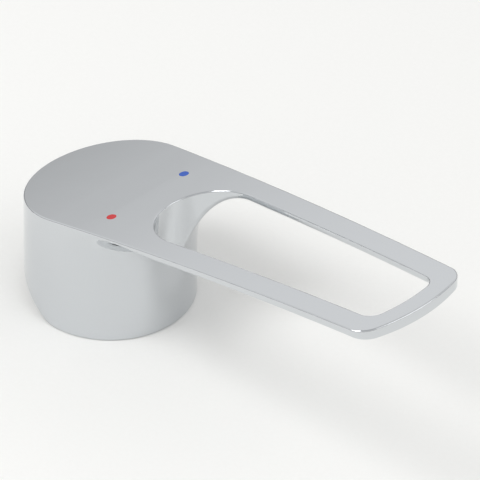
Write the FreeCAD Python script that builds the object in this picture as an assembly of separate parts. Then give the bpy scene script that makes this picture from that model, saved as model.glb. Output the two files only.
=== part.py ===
import FreeCAD
import Part
import math
import os
from FreeCAD import Vector

# Loop handle of a single-lever mixer tap, in millimetres.
# Origin: cap axis in the plane of the rim. +X along the lever, +Y the cold side, +Z up.

# Cap: the round cover over the cartridge
CAP_RADIUS = 23.0
CAP_WALL = 3.0
ROOF_THICKNESS = 3.2
RELIEF_ANGLE = 25.9         # the back of the rim rises, so that the lever can tilt
RELIEF_START = 0.5          # where the rise begins, along the lever
RELIEF_BLEND = 12.0         # radius between the level rim and the rise
RIM_ROUND = 0.4

# Top face: an arch that climbs towards the tip
TOP_HEIGHT = 35.43          # above the rim, on the cap axis
TIP_RISE = 25.435           # the tip's top stands this much higher
ARCH_BULGE = 1.329          # of the arch above a straight line to the tip
TOP_EDGE_ROUND = 0.4

# Lever seen from above
SIDE_TAPER = 2.27           # degrees that each side closes in
TIP_REACH = 117.5
TIP_BOW = 50.0
TIP_CORNER = 6.5
TIP_OVERLAP = 0.10          # the corner arcs leave the sides just short of tangent
LEVER_THICKNESS = 3.5       # measured upright, on the centre line

# Neck: the flare between cap and lever
FLARE_FOOT = 14.0           # height at which the cap wall starts to lean out
FLARE_PULL = 6.93           # the wall stays nearly upright to this far below the top
FLARE_TURN = 5.0            # in front of the cap wall, where it turns under the lever
FLARE_RUN = 17.0            # in front of the cap wall, where it is the lever's underside
NOSE_DELAY = 0.5            # in front of the cap wall, where the round nose starts to flatten
NOSE_RUN = 22.5             # from there to where it has the shape of the tip

# Loop opening
SLOT_WEB = 0.35             # left standing in front of the cap wall
SLOT_RADIUS = 14.25         # of the round back end
SLOT_TAPER = 2.17           # degrees that each side closes in
SLOT_END_BOW = 50.0
SLOT_CORNER = 4.5
TIP_BAR = 5.7               # width of the bar across the tip
SLOT_TOP_ROUND = 0.35
SLOT_UNDER_ROUND = 2.0

# Socket for the spindle of the cartridge, inside the cap
CAVITY_ROUND = 2.0          # between the wall and the roof
HUB_RADIUS = 9.0
HUB_BOTTOM = 9.0
SOCKET_WIDTH = 8.2
SOCKET_DEPTH = 16.0
SOCKET_LEAD = 0.8           # chamfer at the mouth of the socket
RIB_THICKNESS = 2.4
RIB_BOTTOM = 13.0
RIB_ANGLES = (-90.0, 0.0, 90.0)
EMBED = 0.5                 # hub, ribs and tunnel run this far into wall and roof

# Set screw in the back of the hub, and the plug over its hole
SCREW_HEIGHT = 19.5
SCREW_RADIUS = 2.5
SCREW_LENGTH = 6.0
SCREW_BACKED_OFF = 0.3      # the point stands clear of the spindle's space
SCREW_CHAMFER = 0.5
SCREW_CUP_RADIUS = 1.3
SCREW_CUP_DEPTH = 0.8
KEY_WIDTH = 2.5             # across the flats of the hexagon socket
KEY_DEPTH = 2.6
TUNNEL_WALL = 2.0
TUNNEL_CLEARANCE = 0.6      # around the screw, in the way to the back wall
PLUG_RADIUS = 3.9
PLUG_THICKNESS = 1.6
PLUG_SPIGOT = 3.0
PLUG_CLEARANCE = 0.05

# Hot and cold markers on the cap top
MARKER_REACH = 14.4
MARKER_SIDE = 13.2
MARKER_RADIUS = 1.35
MARKER_DEPTH = 0.8
MARKER_CLEARANCE = 0.02

# Fineness of the hull: points on half a section, and sections
BACK_POINTS = 12
FRONT_POINTS = 36
SIDE_SHARE = 0.26           # of the front steps, which takes up the growing side
CAP_SECTIONS = 4
FLARE_SECTIONS = 12
LEVER_SECTIONS = 20
LOFT_OVERRUN = 32.5         # the hull runs on past the tip and is cut there
NEAR = 0.15                 # a point this near to a face counts as on it

TAPER = math.radians(SIDE_TAPER)
SIDE_NORMAL = Vector(math.sin(TAPER), math.cos(TAPER), 0)
SIDE_ALONG = Vector(math.cos(TAPER), -math.sin(TAPER), 0)
TOP_BEND = 4 * ARCH_BULGE / TIP_REACH ** 2
TOP_SLOPE = TIP_RISE / TIP_REACH + TOP_BEND * TIP_REACH
TOP_LIMIT = TOP_HEIGHT + 2 * TIP_RISE
FLARE_END = CAP_RADIUS + FLARE_RUN
SLOT_CENTRE = CAP_RADIUS + SLOT_WEB + SLOT_RADIUS
SLOT_END = TIP_REACH - TIP_BAR
INNER_RADIUS = CAP_RADIUS - CAP_WALL
TUNNEL_RADIUS = SCREW_RADIUS + TUNNEL_CLEARANCE
SCREW_POINT = -SOCKET_WIDTH / 2 - SCREW_BACKED_OFF

# Steps along half a section: the cap's back quarter, then the side and the nose
BACK_STEPS = [i / BACK_POINTS for i in range(BACK_POINTS)]
FRONT_STEPS = [i / FRONT_POINTS for i in range(FRONT_POINTS + 1)]


def top_z(x):
    """Height of the top face at a reach along the lever."""
    return TOP_HEIGHT + TOP_SLOPE * x - TOP_BEND * x * x


def wall_profile(edges, corners):
    """Solid across the lever: an upright profile of some edges, closed by straight sides."""
    outline = Part.Wire(edges + Part.makePolygon(corners).Edges)
    outline.translate(Vector(0, -2 * CAP_RADIUS, 0))
    return Part.Face(outline).extrude(Vector(0, 4 * CAP_RADIUS, 0))


def under_arch(drop):
    """Everything below the top arch lowered by a drop, as a solid."""
    back = -2 * CAP_RADIUS
    front = TIP_REACH + LOFT_OVERRUN / 2
    a, b, c = [Vector(x, 0, top_z(x) - drop) for x in (back, (back + front) / 2, front)]
    floor = -CAP_RADIUS
    return wall_profile([Part.Arc(a, b, c).toShape()], [c, Vector(front, 0, floor), Vector(back, 0, floor), a])


def rim_relief():
    """The wedge taken off the back of the rim, with a soft start."""
    rise = math.radians(RELIEF_ANGLE)
    run = RELIEF_BLEND * math.tan(rise / 2)
    start = RELIEF_START + run
    back = -2 * CAP_RADIUS
    a = Vector(start, 0, 0)
    b = Vector(start - RELIEF_BLEND * math.sin(rise / 2), 0, RELIEF_BLEND * (1 - math.cos(rise / 2)))
    c = Vector(RELIEF_START - run * math.cos(rise), 0, run * math.sin(rise))
    d = Vector(back, 0, (RELIEF_START - back) * math.tan(rise))
    floor = -CAP_RADIUS
    return wall_profile([Part.Arc(a, b, c).toShape()], [c, d, Vector(back, 0, floor), Vector(start, 0, floor), a])


def nose(reach):
    """Radii of the front arc and of its corners when the nose stands at a reach."""
    s = math.sin(TAPER)
    full = (CAP_RADIUS - reach * s) / (1 - s)
    share = (reach - CAP_RADIUS - NOSE_DELAY) / NOSE_RUN
    share = min(1.0, max(0.0, share))
    share = share * share * (3 - 2 * share)
    bow = full + share * (TIP_BOW - full)
    corner = full + share * (TIP_CORNER - full)
    return bow, corner


def corner_of(start, radius, taper, reach, bow, corner):
    """Corner arc between a closing side and a bowed end: run along the side, centre, end turn."""
    normal = Vector(math.sin(taper), math.cos(taper), 0)
    along = Vector(math.cos(taper), -math.sin(taper), 0)
    base = Vector(reach - bow, 0, 0)
    origin = Vector(start, 0, 0) + normal * (radius - corner)
    gap = origin - base
    drift = gap.dot(along)
    rest = drift * drift - gap.dot(gap) + (bow - corner) ** 2
    run = max(0.0, -drift + math.sqrt(max(0.0, rest)))
    centre = origin + along * run
    turn = 0.0
    if bow - corner > 1e-6:
        turn = math.atan2(centre.y, centre.x - base.x)
    return run, centre, turn


def polar(centre, radius, angle):
    """Point on a level circle."""
    return centre + Vector(math.cos(angle), math.sin(angle), 0) * radius


def half_section(reach):
    """Points on the far half of a level section, from the back of the cap to the nose."""
    bow, corner = nose(reach)
    run, centre, turn = corner_of(0.0, CAP_RADIUS, TAPER, reach, bow, corner)
    base = Vector(reach - bow, 0, 0)
    axis = Vector(0, 0, 0)
    first = math.pi / 2 - TAPER
    points = [polar(axis, CAP_RADIUS, math.pi + (first - math.pi) * share) for share in BACK_STEPS]
    bend = corner * (first - turn)
    total = run + bend + bow * turn
    even = CAP_RADIUS * first
    for share in FRONT_STEPS:
        grown = min(1.0, share / SIDE_SHARE)
        at = even * share + (total - even) * grown * grown * (3 - 2 * grown)
        if at <= run:
            points.append(SIDE_NORMAL * CAP_RADIUS + SIDE_ALONG * at)
        elif at <= run + bend:
            points.append(polar(centre, corner, first - (at - run) / corner))
        else:
            points.append(polar(base, bow, (total - at) / bow))
    return points


def section(reach, z):
    """Closed level section of the hull, with its seam at the back of the cap."""
    far = half_section(reach)
    near = [Vector(p.x, -p.y, 0) for p in reversed(far[:-1])]
    half = BACK_STEPS + [1 + share for share in FRONT_STEPS]
    steps = half + [4 - step for step in reversed(half[:-1])]
    points = far + near
    points[-1] = points[0]
    seam = Vector(0, CAP_RADIUS * (math.pi / 2 + TAPER), 0)
    curve = Part.BSplineCurve()
    curve.interpolate(Points=points, Parameters=steps, InitialTangent=seam, FinalTangent=seam, Scale=False)
    wire = Part.Wire([curve.toShape()])
    wire.translate(Vector(0, 0, z))
    return wire


def hull_profile():
    """Reach and height of the nose, from the rim up and out past the tip."""
    steps = [(CAP_RADIUS, FLARE_FOOT * i / CAP_SECTIONS) for i in range(CAP_SECTIONS)]
    end_z = top_z(FLARE_END) - LEVER_THICKNESS
    slope = TOP_SLOPE - 2 * TOP_BEND * FLARE_END
    turn_z = end_z - slope * (FLARE_RUN - FLARE_TURN)
    pull_z = TOP_HEIGHT - FLARE_PULL
    corners = ((CAP_RADIUS, FLARE_FOOT), (CAP_RADIUS, pull_z), (CAP_RADIUS + FLARE_TURN, turn_z), (FLARE_END, end_z))
    for i in range(FLARE_SECTIONS):
        t = i / FLARE_SECTIONS
        weights = ((1 - t) ** 3, 3 * t * (1 - t) ** 2, 3 * t * t * (1 - t), t ** 3)
        x = sum(w * c[0] for w, c in zip(weights, corners))
        z = sum(w * c[1] for w, c in zip(weights, corners))
        steps.append((x, z))
    for i in range(LEVER_SECTIONS + 1):
        x = FLARE_END + (TIP_REACH + LOFT_OVERRUN - FLARE_END) * i / LEVER_SECTIONS
        steps.append((x, top_z(x) - LEVER_THICKNESS))
    return steps


def outer_hull():
    """Cap, neck and lever as one lofted hull, closed above by the arch."""
    wires = [section(x, z) for x, z in hull_profile()]
    return Part.makeLoft(wires, True, False).common(under_arch(0.0))


def loop_prism(start, radius, taper, reach, bow, corner):
    """Upright solid that is round at the back and closes in towards a bowed end."""
    run, centre, turn = corner_of(start, radius, taper, reach, bow, corner)
    back = Vector(start, 0, 0)
    base = Vector(reach - bow, 0, 0)
    first = math.pi / 2 - taper
    far = (polar(back, radius, first), polar(centre, corner, first),
           polar(centre, corner, (first + turn) / 2), polar(base, bow, turn))
    near = [Vector(p.x, -p.y, 0) for p in far]
    outline = Part.Wire([
        Part.Arc(near[0], Vector(start - radius, 0, 0), far[0]).toShape(),
        Part.makeLine(far[0], far[1]),
        Part.Arc(far[1], far[2], far[3]).toShape(),
        Part.Arc(far[3], Vector(reach, 0, 0), near[3]).toShape(),
        Part.Arc(near[3], near[2], near[1]).toShape(),
        Part.makeLine(near[1], near[0])])
    return Part.Face(outline).extrude(Vector(0, 0, TOP_LIMIT))


def beyond_tip():
    """The space around the bowed tip and its round corners."""
    inside = loop_prism(0.0, CAP_RADIUS + TIP_OVERLAP, TAPER, TIP_REACH, TIP_BOW, TIP_CORNER)
    start = Vector(TIP_REACH - 2.5 * TIP_CORNER, -2 * CAP_RADIUS, FLARE_FOOT)
    block = Part.makeBox(TIP_REACH, 4 * CAP_RADIUS, TOP_LIMIT - 2 * FLARE_FOOT, start)
    return block.cut(inside)


def slot():
    """The loop opening."""
    return loop_prism(SLOT_CENTRE, SLOT_RADIUS, math.radians(SLOT_TAPER), SLOT_END, SLOT_END_BOW, SLOT_CORNER)


def rod(radius, start, end, height):
    """Cylinder along the lever's axis between two reaches."""
    return Part.makeCylinder(radius, end - start, Vector(start, 0, height), Vector(1, 0, 0))


def pick(shape, test):
    """Edges of a shape whose middle point passes a test."""
    chosen = []
    for edge in shape.Edges:
        if test(edge.valueAt((edge.FirstParameter + edge.LastParameter) / 2)):
            chosen.append(edge)
    return chosen


def depth(point):
    """How far a point lies under the top face."""
    return top_z(point.x) - point.z


def on_slot(point):
    """Whether a point lies in the loop opening or on its wall."""
    back = SLOT_CENTRE - SLOT_RADIUS
    return back - NEAR < point.x < SLOT_END + NEAR and abs(point.y) < SLOT_RADIUS + NEAR


def on_marker(point):
    """Whether a point lies on a marker's seat."""
    return math.hypot(point.x - MARKER_REACH, abs(point.y) - MARKER_SIDE) < 2 * MARKER_RADIUS


def on_rim(point):
    """Whether a point lies on the outer edge of the rim."""
    if abs(math.hypot(point.x, point.y) - CAP_RADIUS) > NEAR:
        return False
    slant = (RELIEF_START - point.x) * math.tan(math.radians(RELIEF_ANGLE))
    return point.z < max(0.0, slant) + RIM_ROUND


def round_edges(body):
    """Rounds the outer edge of the top, both edges of the loop opening and the rim."""
    edges = pick(body, lambda p: abs(depth(p)) < NEAR and not on_slot(p) and not on_marker(p))
    body = body.makeFillet(TOP_EDGE_ROUND, edges)
    edges = pick(body, lambda p: on_slot(p) and depth(p) > 0.7 * LEVER_THICKNESS)
    body = body.makeFillet(SLOT_UNDER_ROUND, edges)
    edges = pick(body, lambda p: on_slot(p) and abs(depth(p)) < NEAR)
    body = body.makeFillet(SLOT_TOP_ROUND, edges)
    return body.makeFillet(RIM_ROUND, pick(body, on_rim))


def cavity(grown):
    """Space inside the cap, or that space grown into wall and roof."""
    space = Part.makeCylinder(INNER_RADIUS + grown, TOP_LIMIT, Vector(0, 0, -CAP_WALL))
    return space.common(under_arch(ROOF_THICKNESS - grown))


def core():
    """The cavity with a round between its wall and its roof."""
    space = cavity(0.0)
    edges = pick(space, lambda p: p.z > HUB_BOTTOM and depth(p) < ROOF_THICKNESS + CAVITY_ROUND)
    return space.makeFillet(CAVITY_ROUND, edges)


def hub():
    """Hub, ribs and screw tunnel."""
    post = Part.makeCylinder(HUB_RADIUS, TOP_LIMIT, Vector(0, 0, HUB_BOTTOM))
    pieces = [rod(TUNNEL_RADIUS + TUNNEL_WALL, -CAP_RADIUS, 0, SCREW_HEIGHT)]
    for angle in RIB_ANGLES:
        rib = Part.makeBox(CAP_RADIUS, RIB_THICKNESS, TOP_LIMIT, Vector(0, -RIB_THICKNESS / 2, RIB_BOTTOM))
        rib.rotate(Vector(0, 0, 0), Vector(0, 0, 1), angle)
        pieces.append(rib)
    return post.multiFuse(pieces).common(cavity(EMBED))


def spindle_socket():
    """Square hole for the spindle, with a lead at its mouth."""
    half = SOCKET_WIDTH / 2
    hole = Part.makeBox(SOCKET_WIDTH, SOCKET_WIDTH, SOCKET_DEPTH, Vector(-half, -half, HUB_BOTTOM))
    mouths = []
    for wide, z in ((half + SOCKET_LEAD, HUB_BOTTOM), (half, HUB_BOTTOM + SOCKET_LEAD)):
        turns = ((1, 1), (-1, 1), (-1, -1), (1, -1), (1, 1))
        mouths.append(Part.makePolygon([Vector(sx * wide, sy * wide, z) for sx, sy in turns]))
    return hole.fuse(Part.makeLoft(mouths, True, True))


def marker(side, radius):
    """Round plug of a marker's seat, square to the top face and standing out of it."""
    slope = TOP_SLOPE - 2 * TOP_BEND * MARKER_REACH
    up = Vector(-slope, 0, 1).normalize()
    seat = Vector(MARKER_REACH, side * MARKER_SIDE, top_z(MARKER_REACH)) - up * MARKER_DEPTH
    return Part.makeCylinder(radius, 3 * MARKER_DEPTH, seat, up)


def handle_body():
    """The casting: cap, neck and loop lever, with the hub inside the cap."""
    body = outer_hull().cut(beyond_tip()).cut(slot())
    body = body.cut(rim_relief()).cut(core())
    body = body.fuse(hub()).cut(spindle_socket())
    body = body.cut(rod(SCREW_RADIUS, -2 * HUB_RADIUS, 0, SCREW_HEIGHT))
    body = body.cut(rod(TUNNEL_RADIUS, -2 * CAP_RADIUS, -HUB_RADIUS, SCREW_HEIGHT))
    body = body.cut(rod(PLUG_RADIUS, -2 * CAP_RADIUS, PLUG_THICKNESS - CAP_RADIUS, SCREW_HEIGHT))
    body = body.cut(marker(1, MARKER_RADIUS)).cut(marker(-1, MARKER_RADIUS))
    return round_edges(body)


def set_screw():
    """Headless screw with a cup point and a hexagon socket."""
    tail = SCREW_POINT - SCREW_LENGTH
    screw = rod(SCREW_RADIUS, tail, SCREW_POINT, SCREW_HEIGHT)
    screw = screw.makeChamfer(SCREW_CHAMFER, [edge for edge in screw.Edges if edge.Closed])
    point = Vector(SCREW_POINT, 0, SCREW_HEIGHT)
    screw = screw.cut(Part.makeCone(SCREW_CUP_RADIUS, 0, SCREW_CUP_DEPTH, point, Vector(-1, 0, 0)))
    reach = KEY_WIDTH / math.sqrt(3)
    turns = [math.radians(60 * i) for i in range(7)]
    corners = [Vector(tail, reach * math.cos(t), SCREW_HEIGHT + reach * math.sin(t)) for t in turns]
    key = Part.Face(Part.makePolygon(corners)).extrude(Vector(KEY_DEPTH, 0, 0))
    return screw.cut(key)


def screw_plug():
    """Plug over the screw's hole, flush with the cap, with a spigot in the hole."""
    seat = PLUG_THICKNESS - CAP_RADIUS
    disc = rod(PLUG_RADIUS - PLUG_CLEARANCE, -2 * CAP_RADIUS, seat, SCREW_HEIGHT)
    disc = disc.common(Part.makeCylinder(CAP_RADIUS, TOP_LIMIT))
    spigot = rod(TUNNEL_RADIUS - PLUG_CLEARANCE, seat - PLUG_THICKNESS / 2, seat + PLUG_SPIGOT, SCREW_HEIGHT)
    return disc.fuse(spigot)


def inlay(side):
    """Enamel marker that fills its seat up to the top face."""
    return marker(side, MARKER_RADIUS - MARKER_CLEARANCE).common(under_arch(0.0))


pieces = {
    "handle_body": handle_body(),
    "set_screw": set_screw(),
    "screw_plug": screw_plug(),
    "hot_marker": inlay(-1),
    "cold_marker": inlay(1),
}

os.makedirs("parts", exist_ok=True)
for name, shape in pieces.items():
    shape.exportStep("parts/" + name + ".step")
    print(name, shape.isValid(), len(shape.Solids), round(shape.Volume, 1), shape.BoundBox)
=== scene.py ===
import math

import bpy
from bpy.props import FloatProperty, FloatVectorProperty, PointerProperty
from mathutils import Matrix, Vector


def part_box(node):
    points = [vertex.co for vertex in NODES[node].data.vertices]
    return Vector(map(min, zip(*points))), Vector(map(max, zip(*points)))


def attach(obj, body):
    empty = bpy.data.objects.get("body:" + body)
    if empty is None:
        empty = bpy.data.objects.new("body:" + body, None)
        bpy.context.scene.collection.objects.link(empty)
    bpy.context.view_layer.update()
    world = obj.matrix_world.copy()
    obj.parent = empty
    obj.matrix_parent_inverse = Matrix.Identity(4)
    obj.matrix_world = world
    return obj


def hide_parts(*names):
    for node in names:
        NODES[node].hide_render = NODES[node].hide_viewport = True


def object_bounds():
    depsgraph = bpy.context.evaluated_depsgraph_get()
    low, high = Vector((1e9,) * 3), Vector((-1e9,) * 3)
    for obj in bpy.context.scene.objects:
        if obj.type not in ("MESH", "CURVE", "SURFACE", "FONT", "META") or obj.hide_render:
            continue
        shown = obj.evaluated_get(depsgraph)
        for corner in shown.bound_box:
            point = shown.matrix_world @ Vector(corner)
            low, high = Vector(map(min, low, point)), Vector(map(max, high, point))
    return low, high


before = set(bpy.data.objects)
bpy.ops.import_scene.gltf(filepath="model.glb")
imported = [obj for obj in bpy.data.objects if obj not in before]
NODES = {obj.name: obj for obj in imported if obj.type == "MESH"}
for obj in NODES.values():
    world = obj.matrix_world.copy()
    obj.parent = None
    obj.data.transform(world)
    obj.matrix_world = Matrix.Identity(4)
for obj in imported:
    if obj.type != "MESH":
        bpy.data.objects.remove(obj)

bl_info = {
    "name": "Loop Lever Tap Handle",
    "version": (1, 0, 0),
    "blender": (4, 5, 0),
    "location": "View3D > Sidebar > Tap Handle",
    "description": "Dresses a mixer tap's loop handle: casting, set screw, plug, markers and a studio stage",
    "category": "Object",
}

CAD_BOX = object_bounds()

# The casting, in metres: its wall and roof, and the arch of its top from the cap's axis to the tip
CAP_RADIUS, TIP_REACH = -CAD_BOX[0][0], CAD_BOX[1][0]
CAP_WALL, ROOF_THICKNESS = 0.003, 0.0032
TOP_HEIGHT, TIP_RISE, ARCH_BULGE = 0.03543, 0.025435, 0.001329

# The bare hollow ends just within the wall, and half way up the roof: height + slope * x + bend * x * x
HOLLOW_MARGIN = 0.0002
HOLLOW_RADIUS = CAP_RADIUS - CAP_WALL + HOLLOW_MARGIN
HOLLOW_HEIGHT = TOP_HEIGHT - ROOF_THICKNESS / 2
HOLLOW_BEND = -4 * ARCH_BULGE / TIP_REACH ** 2
HOLLOW_SLOPE = TIP_RISE / TIP_REACH - HOLLOW_BEND * TIP_REACH

# Surface of the bare casting, and how strongly the plating and the casting are uneven
ZINC_ROUGHNESS = 0.46
PLATE_RELIEF, ZINC_RELIEF = 0.012, 0.25

# Thread of a metric screw, as shares of its pitch, and its winding
FLANK, CREST_FLAT, ROOT_FLAT = 5 / 16, 1 / 8, 1 / 4
TURNS_BEFORE, TURNS_AFTER = 3, 2
STEPS_PER_TURN = 48
SMOOTH_BELOW = math.radians(25)

# Points nearer than this are one, on the wound thread and on the finer screw
WELD, FINE_WELD = 1e-6, 1e-7

# Lamps: place, width, and power as a share of the key's
LAMPS = {
    "key": ((-0.25, -0.55, 1.0), 0.45, 1.0),
    "fill": ((0.9, 0.5, 0.8), 0.8, 0.4),
}
LAMP_AIM = Vector((0.045, 0.0, 0.03))

# Floor, in metres, and the sides of its outline
FLOOR_RADIUS, FLOOR_THICKNESS, FLOOR_SIDES = 3.0, 0.02, 128

# The room grows lighter up its walls and dimmer up to its ceiling, between these heights, which are
# sines of the angle above the level
WALL_FOOT, WALL_TOP = 0.04, 0.40
CEILING_EDGE, CEILING_MIDDLE = 0.45, 0.95

# A wave texture of scale 1 turns this many radians for each metre
WAVE_TEXTURE_RATE = 20


def linear(hex_colour):
    """An sRGB hex colour as linear RGBA."""
    shares = [int(hex_colour[i:i + 2], 16) / 255 for i in (1, 3, 5)]
    return [s / 12.92 if s <= 0.04045 else ((s + 0.055) / 1.055) ** 2.4 for s in shares] + [1.0]


def colour(name, description, hex_colour):
    """A colour that a user may change."""
    return FloatVectorProperty(name=name, description=description, subtype="COLOR", size=4,
                               min=0.0, max=1.0, default=linear(hex_colour))


def add_node(tree, kind, inputs=None, **settings):
    """Adds a node with its settings; an input that is a socket is linked, any other is set."""
    node = tree.nodes.new(kind)
    for name, value in settings.items():
        setattr(node, name, value)
    for key, value in (inputs or {}).items():
        if isinstance(value, bpy.types.NodeSocket):
            tree.links.new(value, node.inputs[key])
        else:
            node.inputs[key].default_value = value
    return node


def noise_scale(millimetres):
    """Scale of a noise whose waves are about so many millimetres long."""
    return 1000 / millimetres


def ring_scale(millimetres):
    """Scale of a wave texture whose bands lie so many millimetres apart."""
    return 1000 / millimetres * math.tau / WAVE_TEXTURE_RATE


def new_material(name):
    """An empty node material: the material, its tree and its output node."""
    material = bpy.data.materials.new(name)
    material.use_nodes = True
    material.node_tree.nodes.clear()
    output = add_node(material.node_tree, "ShaderNodeOutputMaterial")
    return material, material.node_tree, output


def dress(piece, material):
    """Gives a piece its one material."""
    piece.data.materials.clear()
    piece.data.materials.append(material)


class CastingLooks(bpy.types.PropertyGroup):
    """Finish of the plated casting, inside and out."""

    plate: colour("Chrome", "Colour of the plated outside", "#D3D6D9")
    zinc: colour("Zinc", "Colour of the bare casting inside the cap", "#8B8E90")
    roughness: FloatProperty(name="Polish", description="Roughness of the plating", default=0.05,
                             min=0.0, max=1.0, subtype="FACTOR")


class FittingLooks(bpy.types.PropertyGroup):
    """Finish of the small pieces."""

    steel: colour("Steel", "Colour of the blackened set screw", "#3B3C40")
    plug: colour("Plug", "Colour of the moulded plug", "#A9ADB1")
    hot: colour("Hot", "Colour of the hot marker", "#C4161C")
    cold: colour("Cold", "Colour of the cold marker", "#1450B4")
    pitch: FloatProperty(name="Thread pitch", description="Rise of the set screw's thread in one turn",
                         default=0.0008, min=0.0002, unit="LENGTH")
    play: FloatProperty(name="Thread play", description="Room between the thread's crest and its hole",
                        default=0.00003, min=0.0, unit="LENGTH")


class StageLooks(bpy.types.PropertyGroup):
    """Floor, light and camera."""

    floor: colour("Floor", "Colour of the floor", "#F4F4F2")
    key_power: FloatProperty(name="Key", description="Power of the overhead lamp", default=5.2,
                             min=0.0, subtype="POWER", unit="POWER")
    low_light: FloatProperty(name="Low light", description="Brightness of the room at floor level",
                             default=0.22, min=0.0, max=1.0, subtype="FACTOR")
    wall_light: FloatProperty(name="Wall light", description="Brightness of the room's walls, higher up",
                              default=0.9, min=0.0, max=1.0, subtype="FACTOR")
    ceiling_light: FloatProperty(name="Ceiling light", description="Brightness of the room overhead",
                                 default=0.54, min=0.0, max=1.0, subtype="FACTOR")
    azimuth: FloatProperty(name="Azimuth", description="Camera's turn from the lever's near side",
                           default=math.radians(46.163), subtype="ANGLE")
    elevation: FloatProperty(name="Elevation", description="Camera's height above the level",
                             default=math.radians(38.501), subtype="ANGLE")
    view_width: FloatProperty(name="View width", description="Width of the picture at the handle",
                              default=0.127416, unit="LENGTH")
    aim_right: FloatProperty(name="Aim right", description="Picture centre, to the right of the cap's axis",
                             default=0.034301, unit="LENGTH")
    aim_up: FloatProperty(name="Aim up", description="Picture centre, above the rim's centre",
                          default=0.012366, unit="LENGTH")
    lens: FloatProperty(name="Lens", description="Focal length", default=1400.0, min=1.0, unit="CAMERA")


def chrome_material(looks):
    """Bright chrome over polished zinc: mirror-like, softly uneven where the casting was polished.

    Inside the cap the plating is thin, so the grainy grey casting shows.
    """
    material, tree, output = new_material("polished_chrome_on_zinc")
    place = add_node(tree, "ShaderNodeTexCoord")
    axes = add_node(tree, "ShaderNodeSeparateXYZ", {0: place.outputs["Object"]})
    x, _, z = axes.outputs

    # Inside the cap: within the inner wall, and below the roof
    across = add_node(tree, "ShaderNodeVectorMath", {0: place.outputs["Object"], 1: (1, 1, 0)},
                      operation="MULTIPLY")
    radius = add_node(tree, "ShaderNodeVectorMath", {0: across.outputs[0]}, operation="LENGTH")
    within = add_node(tree, "ShaderNodeMath", {0: radius.outputs["Value"], 1: HOLLOW_RADIUS},
                      operation="LESS_THAN")
    climb = add_node(tree, "ShaderNodeMath", {0: x, 1: HOLLOW_BEND, 2: HOLLOW_SLOPE},
                     operation="MULTIPLY_ADD")
    roof = add_node(tree, "ShaderNodeMath", {0: climb.outputs[0], 1: x, 2: HOLLOW_HEIGHT},
                    operation="MULTIPLY_ADD")
    below = add_node(tree, "ShaderNodeMath", {0: z, 1: roof.outputs[0]}, operation="LESS_THAN")
    inside = add_node(tree, "ShaderNodeMath", {0: within.outputs[0], 1: below.outputs[0]},
                      operation="MULTIPLY")

    # Polishing leaves long shallow waves; the cast skin has fine grains
    waves = add_node(tree, "ShaderNodeTexNoise", {
        "Vector": place.outputs["Object"], "Scale": noise_scale(12.5), "Detail": 1.0, "Roughness": 0.4})
    grain = add_node(tree, "ShaderNodeTexNoise", {
        "Vector": place.outputs["Object"], "Scale": noise_scale(0.4), "Detail": 3.0, "Roughness": 0.6})
    haze = add_node(tree, "ShaderNodeMapRange", {
        "Value": waves.outputs["Fac"], "From Min": 0.3, "From Max": 0.7,
        "To Min": looks.roughness * 0.6, "To Max": looks.roughness * 1.4})
    tone = add_node(tree, "ShaderNodeMapRange", {
        "Value": grain.outputs["Fac"], "To Min": 0.75, "To Max": 1.2})
    zinc = add_node(tree, "ShaderNodeVectorMath", {0: looks.zinc[:3], 3: tone.outputs[0]}, operation="SCALE")

    # Input 0 of a mix is its share, 2 and 3 are its numbers, 6 and 7 its colours
    rough = add_node(tree, "ShaderNodeMix", {0: inside.outputs[0], 2: haze.outputs[0], 3: ZINC_ROUGHNESS},
                     data_type="FLOAT")
    shade = add_node(tree, "ShaderNodeMix", {0: inside.outputs[0], 6: looks.plate, 7: zinc.outputs[0]},
                     data_type="RGBA")
    depth = add_node(tree, "ShaderNodeMix", {0: inside.outputs[0], 2: PLATE_RELIEF, 3: ZINC_RELIEF},
                     data_type="FLOAT")
    relief = add_node(tree, "ShaderNodeMix", {0: inside.outputs[0], 2: waves.outputs["Fac"],
                                              3: grain.outputs["Fac"]}, data_type="FLOAT")
    bump = add_node(tree, "ShaderNodeBump", {"Height": relief.outputs[0], "Strength": depth.outputs[0],
                                             "Distance": 0.001})
    shader = add_node(tree, "ShaderNodeBsdfPrincipled", {
        "Base Color": shade.outputs[2], "Roughness": rough.outputs[0], "Metallic": 1.0,
        "Normal": bump.outputs[0]})
    tree.links.new(shader.outputs[0], output.inputs["Surface"])
    return material


def enamel_material(name, tint):
    """Stove enamel in a small seat: an even strong colour under a glossy skin with a slight ripple."""
    material, tree, output = new_material(name)
    place = add_node(tree, "ShaderNodeTexCoord")
    ripple = add_node(tree, "ShaderNodeTexNoise", {
        "Vector": place.outputs["Object"], "Scale": noise_scale(0.65), "Detail": 2.0})
    tone = add_node(tree, "ShaderNodeMapRange", {
        "Value": ripple.outputs["Fac"], "To Min": 0.88, "To Max": 1.12})
    shade = add_node(tree, "ShaderNodeVectorMath", {0: tint[:3], 3: tone.outputs[0]}, operation="SCALE")
    bump = add_node(tree, "ShaderNodeBump", {"Height": ripple.outputs["Fac"], "Strength": 0.05,
                                             "Distance": 0.0005})
    shader = add_node(tree, "ShaderNodeBsdfPrincipled", {
        "Base Color": shade.outputs[0], "Roughness": 0.16, "IOR": 1.52, "Normal": bump.outputs[0]})
    tree.links.new(shader.outputs[0], output.inputs["Surface"])
    return material


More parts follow.
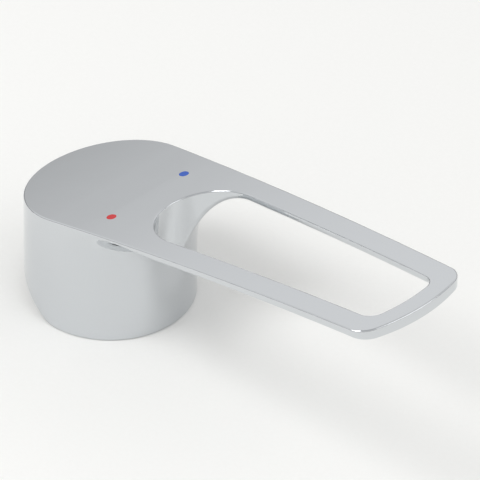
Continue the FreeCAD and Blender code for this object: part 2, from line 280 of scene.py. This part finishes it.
def moulded_material(name, tint):
    """Moulded plastic: satin, with a fine even spark-eroded grain."""
    material, tree, output = new_material(name)
    place = add_node(tree, "ShaderNodeTexCoord")
    # Real grains are about 0.05 mm across; these are coarser, so that they show
    grain = add_node(tree, "ShaderNodeTexNoise", {
        "Vector": place.outputs["Object"], "Scale": noise_scale(0.16), "Detail": 2.0})
    tone = add_node(tree, "ShaderNodeMapRange", {
        "Value": grain.outputs["Fac"], "To Min": 0.92, "To Max": 1.08})
    shade = add_node(tree, "ShaderNodeVectorMath", {0: tint[:3], 3: tone.outputs[0]}, operation="SCALE")
    rough = add_node(tree, "ShaderNodeMapRange", {
        "Value": grain.outputs["Fac"], "To Min": 0.32, "To Max": 0.48})
    bump = add_node(tree, "ShaderNodeBump", {"Height": grain.outputs["Fac"], "Strength": 0.12,
                                             "Distance": 0.0002})
    shader = add_node(tree, "ShaderNodeBsdfPrincipled", {
        "Base Color": shade.outputs[0], "Roughness": rough.outputs[0], "IOR": 1.5,
        "Normal": bump.outputs[0]})
    tree.links.new(shader.outputs[0], output.inputs["Surface"])
    return material


def steel_material(tint):
    """Blackened alloy steel: dark, half matt, with fine turning marks around the screw's axis."""
    material, tree, output = new_material("blackened_steel")
    place = add_node(tree, "ShaderNodeTexCoord")
    # Real marks lie about 0.1 mm apart; these are coarser, so that they show
    rings = add_node(tree, "ShaderNodeTexWave", {
        "Vector": place.outputs["Object"], "Scale": ring_scale(0.35), "Distortion": 1.5, "Detail": 2.0},
        bands_direction="X")
    tone = add_node(tree, "ShaderNodeMapRange", {
        "Value": rings.outputs["Fac"], "To Min": 0.8, "To Max": 1.2})
    shade = add_node(tree, "ShaderNodeVectorMath", {0: tint[:3], 3: tone.outputs[0]}, operation="SCALE")
    rough = add_node(tree, "ShaderNodeMapRange", {
        "Value": rings.outputs["Fac"], "To Min": 0.34, "To Max": 0.46})
    shader = add_node(tree, "ShaderNodeBsdfPrincipled", {
        "Base Color": shade.outputs[0], "Roughness": rough.outputs[0], "Metallic": 1.0})
    tree.links.new(shader.outputs[0], output.inputs["Surface"])
    return material


def floor_material(tint):
    """Pale matt board with a faint tooth."""
    material, tree, output = new_material("matt_board")
    place = add_node(tree, "ShaderNodeTexCoord")
    tooth = add_node(tree, "ShaderNodeTexNoise", {
        "Vector": place.outputs["Object"], "Scale": noise_scale(1.1), "Detail": 2.0})
    tone = add_node(tree, "ShaderNodeMapRange", {
        "Value": tooth.outputs["Fac"], "To Min": 0.985, "To Max": 1.015})
    shade = add_node(tree, "ShaderNodeVectorMath", {0: tint[:3], 3: tone.outputs[0]}, operation="SCALE")
    shader = add_node(tree, "ShaderNodeBsdfPrincipled", {
        "Base Color": shade.outputs[0], "Roughness": 0.7, "Specular IOR Level": 0.2})
    tree.links.new(shader.outputs[0], output.inputs["Surface"])
    return material


class TAPHANDLE_OT_plate_casting(bpy.types.Operator):
    """Plate the casting"""

    bl_idname = "tap_handle.plate_casting"
    bl_label = "Plate the Casting"

    def execute(self, context):
        dress(NODES["handle_body"], chrome_material(context.scene.casting_looks))
        return {"FINISHED"}


def pick_only(piece):
    """Selects one piece alone and makes it active."""
    bpy.ops.object.select_all(action="DESELECT")
    piece.select_set(True)
    bpy.context.view_layer.objects.active = piece


def wind_thread(low, high, looks):
    """A threaded bar along the screw's axis, a little longer than the screw and closed at its ends."""
    crest = (high.y - low.y) / 2 - looks.play
    flank, crest_flat, root_flat = [looks.pitch * share for share in (FLANK, CREST_FLAT, ROOT_FLAT)]
    tooth = flank * math.sqrt(3)
    axis = (low.z + high.z) / 2
    start = low.x - TURNS_BEFORE * looks.pitch
    turns = TURNS_BEFORE + math.ceil((high.x - low.x) / looks.pitch) + TURNS_AFTER
    bpy.ops.object.select_all(action="DESELECT")
    bpy.ops.mesh.primitive_plane_add(size=looks.pitch, location=(start, 0, axis))
    bar = bpy.context.object
    bar.name = bar.data.name = "threaded_set_screw"

    # Half an outline with one tooth for each turn: one turn of it winds every tooth into the next
    bpy.ops.object.mode_set(mode="EDIT")
    bpy.ops.mesh.merge(type="CENTER")
    bpy.ops.transform.translate(value=(0, 0, crest - tooth))
    for _ in range(turns):
        for along, out in ((root_flat, 0), (flank, tooth), (crest_flat, 0), (flank, -tooth)):
            bpy.ops.mesh.extrude_vertices_move(TRANSFORM_OT_translate={"value": (along, 0, out)})
    bpy.ops.object.mode_set(mode="OBJECT")
    winding = bar.modifiers.new("winding", "SCREW")
    winding.axis = "X"
    winding.screw_offset = looks.pitch
    winding.steps = winding.render_steps = STEPS_PER_TURN
    bpy.ops.object.modifier_apply(modifier=winding.name)

    bpy.ops.object.mode_set(mode="EDIT")
    bpy.ops.mesh.select_all(action="SELECT")
    bpy.ops.mesh.remove_doubles(threshold=WELD)
    for end, side in ((low.x - looks.pitch / 2, -1), (high.x + looks.pitch / 2, 1)):
        bpy.ops.mesh.select_all(action="SELECT")
        bpy.ops.mesh.bisect(plane_co=(end, 0, axis), plane_no=(side, 0, 0), use_fill=True,
                            clear_outer=True, threshold=FINE_WELD)
    bpy.ops.mesh.select_all(action="SELECT")
    bpy.ops.mesh.normals_make_consistent(inside=False)
    bpy.ops.object.mode_set(mode="OBJECT")
    bpy.ops.object.transform_apply(location=True, rotation=False, scale=False)
    return bar


class TAPHANDLE_OT_cut_screw(bpy.types.Operator):
    """Cut the thread of the set screw"""

    bl_idname = "tap_handle.cut_screw"
    bl_label = "Cut the Set Screw"

    def execute(self, context):
        looks = context.scene.fitting_looks
        low, high = [Vector(corner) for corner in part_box("set_screw")]
        screw = wind_thread(low, high, looks)

        # The plain screw gives the ends: chamfers, hexagon socket and cup point
        pick_only(NODES["set_screw"])
        bpy.ops.object.duplicate()
        blank = context.object
        bpy.ops.object.mode_set(mode="EDIT")
        bpy.ops.mesh.select_all(action="SELECT")
        bpy.ops.mesh.remove_doubles(threshold=FINE_WELD)
        bpy.ops.object.mode_set(mode="OBJECT")
        trim = screw.modifiers.new("trim", "BOOLEAN")
        trim.operation = "INTERSECT"
        trim.solver = "EXACT"
        trim.object = blank
        pick_only(screw)
        bpy.ops.object.modifier_apply(modifier=trim.name)
        pick_only(blank)
        bpy.ops.object.delete()
        if not screw.data.polygons:
            raise RuntimeError("The set screw's thread could not be cut")

        pick_only(screw)
        bpy.ops.mesh.customdata_custom_splitnormals_clear()
        bpy.ops.object.shade_smooth_by_angle(angle=SMOOTH_BELOW)
        dress(screw, steel_material(looks.steel))
        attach(screw, "root")
        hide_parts("set_screw")
        return {"FINISHED"}


class TAPHANDLE_OT_mould_plug(bpy.types.Operator):
    """Give the plug over the set screw its moulded finish"""

    bl_idname = "tap_handle.mould_plug"
    bl_label = "Finish the Plug"

    def execute(self, context):
        dress(NODES["screw_plug"], moulded_material("moulded_abs", context.scene.fitting_looks.plug))
        return {"FINISHED"}


class TAPHANDLE_OT_fill_markers(bpy.types.Operator):
    """Fill the hot and cold markers with enamel"""

    bl_idname = "tap_handle.fill_markers"
    bl_label = "Fill the Markers"

    def execute(self, context):
        looks = context.scene.fitting_looks
        dress(NODES["hot_marker"], enamel_material("red_enamel", looks.hot))
        dress(NODES["cold_marker"], enamel_material("blue_enamel", looks.cold))
        return {"FINISHED"}


def lay_floor(looks):
    """A round board under the handle."""
    bpy.ops.object.select_all(action="DESELECT")
    bpy.ops.mesh.primitive_circle_add(vertices=FLOOR_SIDES, radius=FLOOR_RADIUS, fill_type="NGON")
    floor = bpy.context.object
    floor.name = "floor"
    bpy.ops.object.mode_set(mode="EDIT")
    bpy.ops.mesh.extrude_region_move(TRANSFORM_OT_translate={"value": (0, 0, -FLOOR_THICKNESS)})
    bpy.ops.mesh.select_all(action="SELECT")
    bpy.ops.mesh.normals_make_consistent(inside=False)
    bpy.ops.object.mode_set(mode="OBJECT")
    dress(floor, floor_material(looks.floor))


def hang_lamps(looks):
    """A soft lamp overhead on the left and a weaker one on the right."""
    for name, (place, width, share) in LAMPS.items():
        bpy.ops.object.light_add(type="AREA", location=place)
        lamp = bpy.context.object
        lamp.name = name
        lamp.data.shape = "SQUARE"
        lamp.data.size = width
        lamp.data.energy = looks.key_power * share
        lamp.rotation_euler = (LAMP_AIM - Vector(place)).to_track_quat("-Z", "Y").to_euler()


def light_world(scene, looks):
    """A white room, darker low on its walls and overhead, so that the chrome has tones to mirror."""
    world = bpy.data.worlds.new("studio")
    scene.world = world
    world.use_nodes = True
    tree = world.node_tree
    tree.nodes.clear()
    place = add_node(tree, "ShaderNodeTexCoord")
    axes = add_node(tree, "ShaderNodeSeparateXYZ", {0: place.outputs["Generated"]})
    walls = add_node(tree, "ShaderNodeMapRange", {
        "Value": axes.outputs[2], "From Min": WALL_FOOT, "From Max": WALL_TOP,
        "To Min": looks.low_light, "To Max": looks.wall_light}, interpolation_type="SMOOTHSTEP")
    level = add_node(tree, "ShaderNodeMapRange", {
        "Value": axes.outputs[2], "From Min": CEILING_EDGE, "From Max": CEILING_MIDDLE,
        "To Min": walls.outputs[0], "To Max": looks.ceiling_light}, interpolation_type="SMOOTHSTEP")
    backdrop = add_node(tree, "ShaderNodeBackground", {"Color": (1, 1, 1, 1), "Strength": level.outputs[0]})
    output = add_node(tree, "ShaderNodeOutputWorld")
    tree.links.new(backdrop.outputs[0], output.inputs["Surface"])


def place_camera(scene, looks):
    """A long lens, looking down along the lever from its near side."""
    sin_a, cos_a = math.sin(looks.azimuth), math.cos(looks.azimuth)
    sin_e, cos_e = math.sin(looks.elevation), math.cos(looks.elevation)
    towards = Vector((sin_a * cos_e, -cos_a * cos_e, sin_e))
    right = Vector((cos_a, sin_a, 0))
    up = towards.cross(right)
    aim = right * looks.aim_right + up * looks.aim_up
    bpy.ops.object.camera_add()
    camera = bpy.context.object
    camera.name = "camera"
    camera.data.lens = looks.lens
    distance = looks.view_width * looks.lens / camera.data.sensor_width
    camera.data.clip_end = 10 * distance
    camera.location = aim + towards * distance
    camera.rotation_euler = (-towards).to_track_quat("-Z", "Y").to_euler()
    scene.camera = camera


class TAPHANDLE_OT_set_stage(bpy.types.Operator):
    """Lay the floor, and set the lamps, the world and the camera"""

    bl_idname = "tap_handle.set_stage"
    bl_label = "Set the Stage"

    def execute(self, context):
        looks = context.scene.stage_looks
        lay_floor(looks)
        hang_lamps(looks)
        light_world(context.scene, looks)
        place_camera(context.scene, looks)
        context.scene.view_settings.view_transform = "Standard"
        return {"FINISHED"}


class VIEW3D_PT_tap_handle(bpy.types.Panel):
    """Lists the steps that dress the handle"""

    bl_label = "Tap Handle"
    bl_idname = "VIEW3D_PT_tap_handle"
    bl_space_type = "VIEW_3D"
    bl_region_type = "UI"
    bl_category = "Tap Handle"

    def draw(self, context):
        layout = self.layout
        for looks in (context.scene.casting_looks, context.scene.fitting_looks, context.scene.stage_looks):
            box = layout.box()
            for name in looks.bl_rna.properties.keys():
                if name not in ("rna_type", "name"):
                    box.prop(looks, name)
        for operator in STEPS:
            layout.operator(operator.bl_idname)


STEPS = (
    TAPHANDLE_OT_plate_casting,
    TAPHANDLE_OT_cut_screw,
    TAPHANDLE_OT_mould_plug,
    TAPHANDLE_OT_fill_markers,
    TAPHANDLE_OT_set_stage,
)
CLASSES = (CastingLooks, FittingLooks, StageLooks) + STEPS + (VIEW3D_PT_tap_handle,)


def register():
    """Adds the classes, and the looks that a scene keeps."""
    for cls in CLASSES:
        bpy.utils.register_class(cls)
    bpy.types.Scene.casting_looks = PointerProperty(type=CastingLooks)
    bpy.types.Scene.fitting_looks = PointerProperty(type=FittingLooks)
    bpy.types.Scene.stage_looks = PointerProperty(type=StageLooks)


def unregister():
    """Takes away what register adds."""
    del bpy.types.Scene.stage_looks
    del bpy.types.Scene.fitting_looks
    del bpy.types.Scene.casting_looks
    for cls in reversed(CLASSES):
        bpy.utils.unregister_class(cls)


def main():
    """Registers the add-on and runs its steps in order."""
    register()
    bpy.ops.tap_handle.plate_casting()
    bpy.ops.tap_handle.cut_screw()
    bpy.ops.tap_handle.mould_plug()
    bpy.ops.tap_handle.fill_markers()
    bpy.ops.tap_handle.set_stage()


if __name__ == "__main__":
    main()
